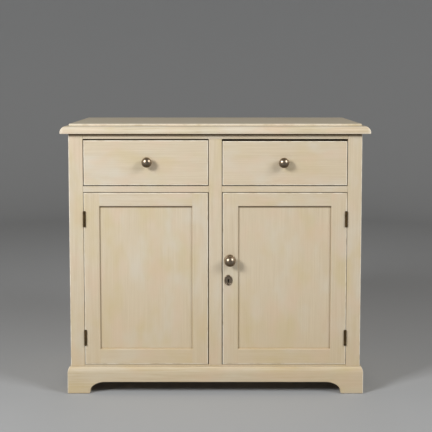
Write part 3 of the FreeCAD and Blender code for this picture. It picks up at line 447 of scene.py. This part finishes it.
# How far down the painted shadow under the top board and under a door's top rail reaches
TOP_SHADOW_REACH = 11 * MM
RAIL_SHADOW_REACH = 7 * MM
BACK_BOARD_COUNT = 8
SIDES = ("left", "right")


def corners_of(*names):
    """The lowest and the highest corner of some nodes together."""
    boxes = [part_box(name) for name in names]
    return (Vector([min(box[0][axis] for box in boxes) for axis in range(3)]),
            Vector([max(box[1][axis] for box in boxes) for axis in range(3)]))


# The frame's box is drawn out up and down, because only its upright arrises are rubbed and get the painted
# highlight
frame_low, frame_high = corners_of("left_stile", "right_stile")
frame_corners = (frame_low - Vector(UP), frame_high + Vector(UP))
shadow_under_top = (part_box("top_board")[0].z, TOP_SHADOW_REACH)
back_low, back_high = corners_of("back_boards")
board_width = (back_high.x - back_low.x) / BACK_BOARD_COUNT
pewter = rubbed_pewter("rubbed_pewter")
iron = brown_iron("brown_iron")
finishes = {
    painted_pine("cream_paint_top", LEVEL): ["top_board"],
    painted_pine("cream_paint_frame_upright", UPRIGHT, frame_corners, BACK, shadow_under_top): [
        "left_stile", "right_stile", "centre_stile"],
    painted_pine("cream_paint_frame_level", LEVEL, frame_corners, BACK, shadow_under_top): [
        "top_rail", "bottom_rail", "left_drawer_rail", "right_drawer_rail"],
    painted_pine("cream_paint_left_side", UPRIGHT, frame_corners, RIGHT, shadow_under_top): ["left_side"],
    painted_pine("cream_paint_right_side", UPRIGHT, frame_corners, LEFT, shadow_under_top): ["right_side"],
    painted_pine("cream_paint_plinth_front", LEVEL, bare_side=BACK): ["plinth_front"],
    painted_pine("cream_paint_plinth_left", DEEP, bare_side=RIGHT): ["plinth_left"],
    painted_pine("cream_paint_plinth_right", DEEP, bare_side=LEFT): ["plinth_right"],
    bare_pine("bare_pine_back", UPRIGHT, board_width): ["back_boards"],
    bare_pine("bare_pine_upright", UPRIGHT): ["plinth_corner_blocks", "turn_button"],
    bare_pine("bare_pine_level", LEVEL): [
        "floor_board", "shelf", "plinth_back", "stop_blocks",
        *(side + "_drawer_" + piece for side in SIDES for piece in ("back", "bottom"))],
    bare_pine("bare_pine_deep", DEEP): [
        "shelf_cleats", "drawer_runners", "drawer_guides", "drawer_kickers",
        *(side + "_drawer_" + piece for side in SIDES for piece in ("inner_side", "outer_side"))],
    pewter: ["left_drawer_knob", "right_drawer_knob", "latch_knob", "latch_rose", "escutcheon"],
    iron: [
        "hinge_frame_leaves", "hinge_pins", "hinge_frame_screws",
        "left_door_hinge_leaves", "left_door_screws", "right_door_hinge_leaves", "right_door_screws",
        "latch_tongue", "lock_case", "lock_bolt", "lock_spring"],
}
for side in SIDES:
    door = side + "_door_"
    door_corners = corners_of(door + "outer_stile", door + "inner_stile")
    shadow_under_rail = (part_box(door + "top_rail")[0].z, RAIL_SHADOW_REACH)
    finishes[painted_pine("cream_paint_" + door + "upright", UPRIGHT, door_corners)] = [
        door + "outer_stile", door + "inner_stile"]
    finishes[painted_pine("cream_paint_" + door + "panel", UPRIGHT, door_corners, ledge_shadow=shadow_under_rail)] = [
        door + "panel"]
    finishes[painted_pine("cream_paint_" + door + "level", LEVEL, door_corners)] = [
        door + "top_rail", door + "bottom_rail"]
    drawer_front = side + "_drawer_front"
    finishes[painted_pine("cream_paint_" + drawer_front, LEVEL, corners_of(drawer_front), BACK)] = [
        drawer_front]
for finish, names in finishes.items():
    for name in names:
        nodes[name].data.materials.clear()
        nodes[name].data.materials.append(finish)


# Small driven heads: the escutcheon's pins, and the nails of the back boards

HEAD_SIDES = 14
RIM_SHARE = 0.8
RIM_STEPS = 3


def driven_heads(name, spots, outward, radius, rise, body, finish):
    """Low round heads with a domed rim, standing outward on a flat face."""
    mesh = bmesh.new()
    out = Vector(outward)
    turn = Vector(UP).rotation_difference(out).to_matrix().to_4x4()
    for spot in spots:
        bmesh.ops.create_cone(mesh, cap_ends=True, segments=HEAD_SIDES, radius1=radius, radius2=radius,
                              depth=rise, matrix=Matrix.Translation(Vector(spot) + out * rise / 2) @ turn)
    middle = Vector(spots[0]).dot(out) + rise / 2
    rims = [edge for edge in mesh.edges if min(vert.co.dot(out) for vert in edge.verts) > middle]
    bmesh.ops.bevel(mesh, geom=rims, offset=RIM_SHARE * rise, affect="EDGES", segments=RIM_STEPS,
                    profile=0.5, material=-1)
    bmesh.ops.recalc_face_normals(mesh, faces=mesh.faces)
    for face in mesh.faces:
        face.smooth = True
    data = bpy.data.meshes.new(name)
    mesh.to_mesh(data)
    mesh.free()
    data.materials.append(finish)
    piece = bpy.data.objects.new(name, data)
    bpy.context.scene.collection.objects.link(piece)
    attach(piece, body)


PIN_RADIUS = 1.6 * MM
PIN_RISE = 1.1 * MM
PIN_SPREAD = 11.6 * MM
PLATE_THICKNESS = 1.0 * MM
plate_low, plate_high = corners_of("escutcheon")
keyhole = (plate_low + plate_high) / 2
pin_spots = [(keyhole.x, plate_high.y - PLATE_THICKNESS, keyhole.z + way * PIN_SPREAD) for way in (-1, 1)]
driven_heads("escutcheon_pins", pin_spots, FRONT, PIN_RADIUS, PIN_RISE, "right_door", pewter)

NAIL_RADIUS = 2.8 * MM
NAIL_RISE = 0.8 * MM
NAIL_INSET = 24 * MM
EDGE_NAIL_INSET = 5 * MM
EDGE_NAIL_ROWS = 6
nail_spots = []
for carrier in ("floor_board", "shelf"):
    carrier_low, carrier_high = corners_of(carrier)
    for number in range(BACK_BOARD_COUNT):
        left_edge = back_low.x + number * board_width
        for x in (left_edge + NAIL_INSET, left_edge + board_width - NAIL_INSET):
            nail_spots.append((x, back_high.y, (carrier_low.z + carrier_high.z) / 2))
for row in range(EDGE_NAIL_ROWS):
    z = back_low.z + (row + 0.5) / EDGE_NAIL_ROWS * (back_high.z - back_low.z)
    for x in (back_low.x + EDGE_NAIL_INSET, back_high.x - EDGE_NAIL_INSET):
        nail_spots.append((x, back_high.y, z))
driven_heads("back_board_nails", nail_spots, BACK, NAIL_RADIUS, NAIL_RISE, "carcase", iron)


# Studio: a round pale floor that sweeps up into a wall, two softboxes in front, a low one behind, some fill

FLOOR_RADIUS = 3.6
SWEEP_RADIUS = 1.6
WALL_TOP = 4.5
SWEEP_STEPS = 16
TURN_STEPS = 96


def make_studio():
    """The floor and wall in one sheet of matt paper, which has hardly any shine."""
    mesh = bmesh.new()
    profile = [Vector((0, 0, 0)), Vector((FLOOR_RADIUS, 0, 0))]
    for step in range(1, SWEEP_STEPS + 1):
        angle = math.pi / 2 * step / SWEEP_STEPS
        profile.append(Vector((FLOOR_RADIUS + SWEEP_RADIUS * math.sin(angle), 0,
                               SWEEP_RADIUS * (1 - math.cos(angle)))))
    profile.append(Vector((FLOOR_RADIUS + SWEEP_RADIUS, 0, WALL_TOP)))
    points = [mesh.verts.new(point) for point in profile]
    edges = [mesh.edges.new(pair) for pair in zip(points, points[1:])]
    bmesh.ops.spin(mesh, geom=points + edges, cent=(0, 0, 0), axis=UP, angle=2 * math.pi,
                   steps=TURN_STEPS, use_merge=True)
    bmesh.ops.remove_doubles(mesh, verts=mesh.verts, dist=MM)
    bmesh.ops.recalc_face_normals(mesh, faces=mesh.faces)
    for face in mesh.faces:
        face.smooth = True
    data = bpy.data.meshes.new("studio_floor")
    mesh.to_mesh(data)
    mesh.free()
    floor = bpy.data.objects.new("studio_floor", data)
    bpy.context.scene.collection.objects.link(floor)
    material, tree, shader, coords = new_material("pale_paper_sweep")
    apart = add(tree, "ShaderNodeSeparateXYZ", {0: coords.outputs["Object"]})
    height = add(tree, "ShaderNodeMapRange", {
        "Value": apart.outputs["Z"], "From Min": 0.0, "From Max": SWEEP_RADIUS})
    shade = add(tree, "ShaderNodeMix", {
        FACTOR: height.outputs[0], FIRST: linear("#A6A8AA"), SECOND: linear("#A4A6A8")}, data_type="RGBA")
    tree.links.new(shade.outputs[MIXED], shader.inputs["Base Color"])
    shader.inputs["Roughness"].default_value = 0.9
    shader.inputs["Specular IOR Level"].default_value = 0.2
    data.materials.append(material)


LIGHT_TARGET = Vector((0, -0.2, 0.6))
FILL_STRENGTH = 0.2


def softbox(name, azimuth, elevation, distance, size, power, spread=180):
    """A square lamp that looks at the cupboard; azimuth is from the front, to the right."""
    turn = math.radians(azimuth)
    rise = math.radians(elevation)
    away = Vector((math.sin(turn) * math.cos(rise), -math.cos(turn) * math.cos(rise), math.sin(rise)))
    lamp = bpy.data.lights.new(name, "AREA")
    lamp.shape = "SQUARE"
    lamp.size = size
    lamp.energy = power
    lamp.spread = math.radians(spread)
    holder = bpy.data.objects.new(name, lamp)
    holder.location = LIGHT_TARGET + away * distance
    holder.rotation_euler = (-away).to_track_quat("-Z", "Y").to_euler()
    holder.visible_camera = False
    bpy.context.scene.collection.objects.link(holder)


make_studio()
softbox("left_softbox", azimuth=-48, elevation=27, distance=4.0, size=1.1, power=130)
softbox("right_softbox", azimuth=57, elevation=30.5, distance=4.0, size=1.4, power=88)
softbox("back_softbox", azimuth=180, elevation=-1.5, distance=3.6, size=0.7, power=2.6, spread=40)

world = bpy.data.worlds.new("studio_fill")
world.use_nodes = True
fill = world.node_tree.nodes["Background"]
fill.inputs["Color"].default_value = linear("#FFF3E3")
fill.inputs["Strength"].default_value = FILL_STRENGTH
bpy.context.scene.world = world


# Camera at the photograph's place: height, distance and lens are fitted to the cupboard's corners

CAMERA_ASIDE = 0.0062
CAMERA_DISTANCE = 2.9916
CAMERA_HEIGHT = 1.0556
CAMERA_PITCH = 4.5
FRAME_PIXELS = 432
FOCAL_PIXELS = 915.9
MIDDLE_COLUMN = 217.21
MIDDLE_ROW = 148.29
SENSOR = 36.0

face_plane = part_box("left_stile")[0].y
camera = bpy.data.cameras.new("camera")
camera.sensor_width = SENSOR
camera.lens = FOCAL_PIXELS / FRAME_PIXELS * SENSOR
camera.shift_x = 0.5 - MIDDLE_COLUMN / FRAME_PIXELS
camera.shift_y = MIDDLE_ROW / FRAME_PIXELS - 0.5
viewer = bpy.data.objects.new("camera", camera)
viewer.location = (CAMERA_ASIDE, face_plane - CAMERA_DISTANCE, CAMERA_HEIGHT)
viewer.rotation_euler = (math.radians(90 - CAMERA_PITCH), 0, 0)
bpy.context.scene.collection.objects.link(viewer)
bpy.context.scene.camera = viewer
bpy.context.scene.view_settings.view_transform = "Standard"
